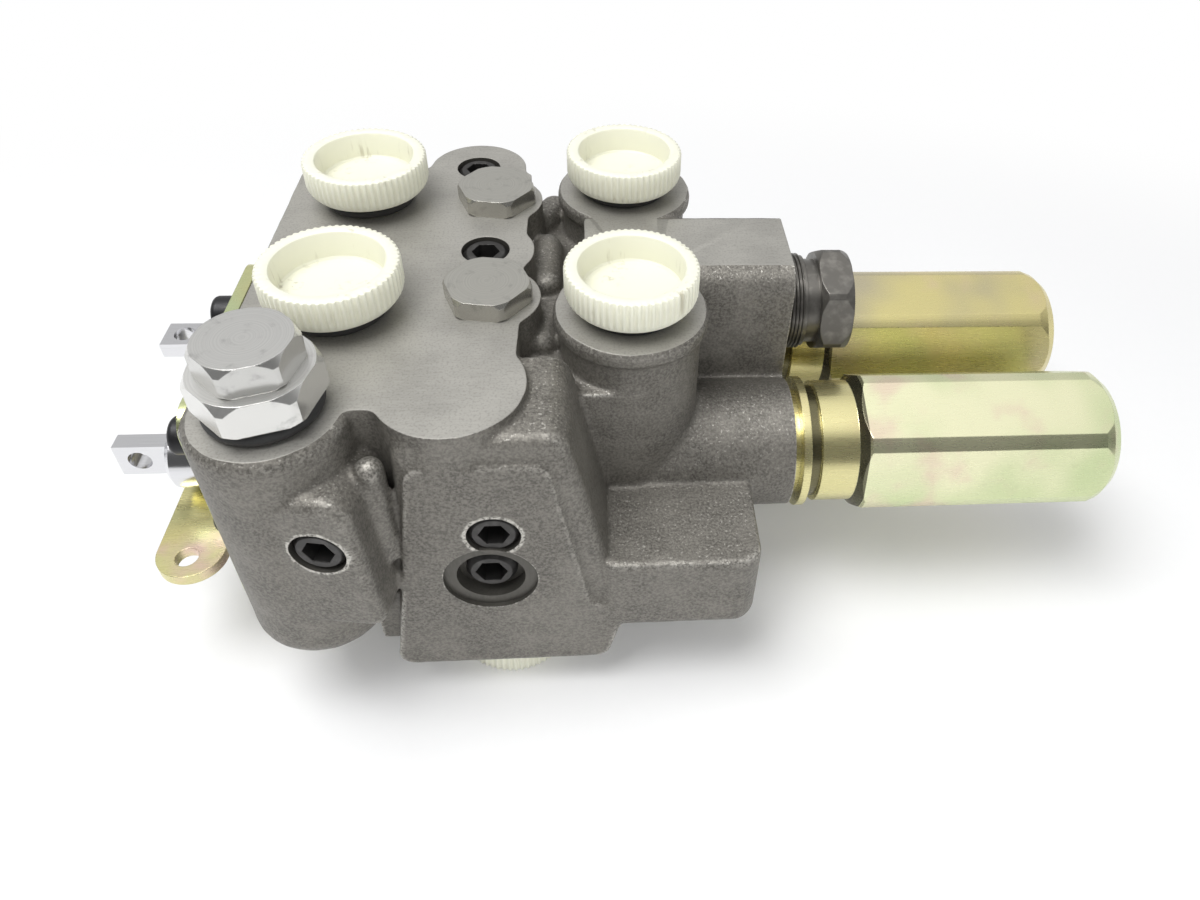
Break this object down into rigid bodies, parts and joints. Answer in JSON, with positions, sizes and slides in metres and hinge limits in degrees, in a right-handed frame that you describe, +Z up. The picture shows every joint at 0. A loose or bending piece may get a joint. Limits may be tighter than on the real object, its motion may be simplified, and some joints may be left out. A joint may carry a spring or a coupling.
{
  "type": "auxiliary control valve",
  "caption": "Hydraulic directional control valve: cast block with sliding spools, capped ports, check plugs, a relief valve, hexagonal spring caps and a linkage bracket.",
  "frame": {"origin": "centre of the four tapped mounting holes, on the machined underside", "axes": "+X along the spools towards the spring caps, +Z up out of the work ports, -Y towards the front pad"},
  "size_m": [0.285, 0.1415, 0.12],
  "materials": {
    "cast_iron": "as cast, milled on the working faces",
    "cap_plastic": "moulded, slightly dirty",
    "chrome_steel": "ground and plated",
    "zinc_plate": "yellow passivated zinc",
    "black_oxide": "black oxide",
    "seal_rubber": "moulded",
    "spring_steel": "drawn wire",
    "turned_steel": "turned"
  },
  "bodies": {
    "housing": {"bracket_screws": "black_oxide", "cap_seals": "seal_rubber", "check_plug_seals": "seal_rubber", "front_check_plug": "turned_steel", "front_check_spring": "spring_steel", "front_socket_plugs": "turned_steel", "front_spring_cap": "zinc_plate", "inlet_cap": "cap_plastic", "link_bracket": "zinc_plate", "outlet_cap": "cap_plastic", "pilot_plug": "turned_steel", "port_cap_front_left": "cap_plastic", "port_cap_front_right": "cap_plastic", "port_cap_rear_left": "cap_plastic", "port_cap_rear_right": "cap_plastic", "power_beyond_plug": "black_oxide", "rear_check_plug": "turned_steel", "rear_check_spring": "spring_steel", "rear_spring_cap": "zinc_plate", "relief_adapter": "turned_steel", "relief_adjuster": "turned_steel", "relief_cap": "turned_steel", "relief_seal": "seal_rubber", "relief_spring": "spring_steel", "spool_seals": "seal_rubber", "top_socket_plugs": "turned_steel", "valve_body": "cast_iron", "wiper_seals": "seal_rubber"},
    "front_spool_set": {"front_spool": "chrome_steel", "front_stem_bolt": "turned_steel", "front_spring_seats": "turned_steel", "front_centring_spring": "spring_steel"},
    "rear_spool_set": {"rear_spool": "chrome_steel", "rear_stem_bolt": "turned_steel", "rear_spring_seats": "turned_steel", "rear_centring_spring": "spring_steel"},
    "front_check": {"front_check_poppet": "turned_steel"},
    "rear_check": {"rear_check_poppet": "turned_steel"},
    "relief": {"relief_poppet": "turned_steel"}
  },
  "joints": [
    {"name": "front_spool_slide", "type": "slide", "parent": "housing", "child": "front_spool_set", "axis": [1, 0, 0], "range_m": [-0.007, 0.007], "stiffness_N_per_m": 4000},
    {"name": "rear_spool_slide", "type": "slide", "parent": "housing", "child": "rear_spool_set", "axis": [1, 0, 0], "range_m": [-0.007, 0.007], "stiffness_N_per_m": 4000},
    {"name": "front_check_lift", "type": "slide", "parent": "housing", "child": "front_check", "axis": [0, 0, 1], "range_m": [0, 0.004], "stiffness_N_per_m": 300, "springref_m": -0.003, "deforming": ["front_check_spring"]},
    {"name": "rear_check_lift", "type": "slide", "parent": "housing", "child": "rear_check", "axis": [0, 0, 1], "range_m": [0, 0.004], "stiffness_N_per_m": 300, "springref_m": -0.003, "deforming": ["rear_check_spring"]},
    {"name": "relief_lift", "type": "slide", "parent": "housing", "child": "relief", "axis": [0, 0, 1], "range_m": [0, 0.002], "stiffness_N_per_m": 3000, "springref_m": -0.003, "deforming": ["relief_spring"]}
  ]
}
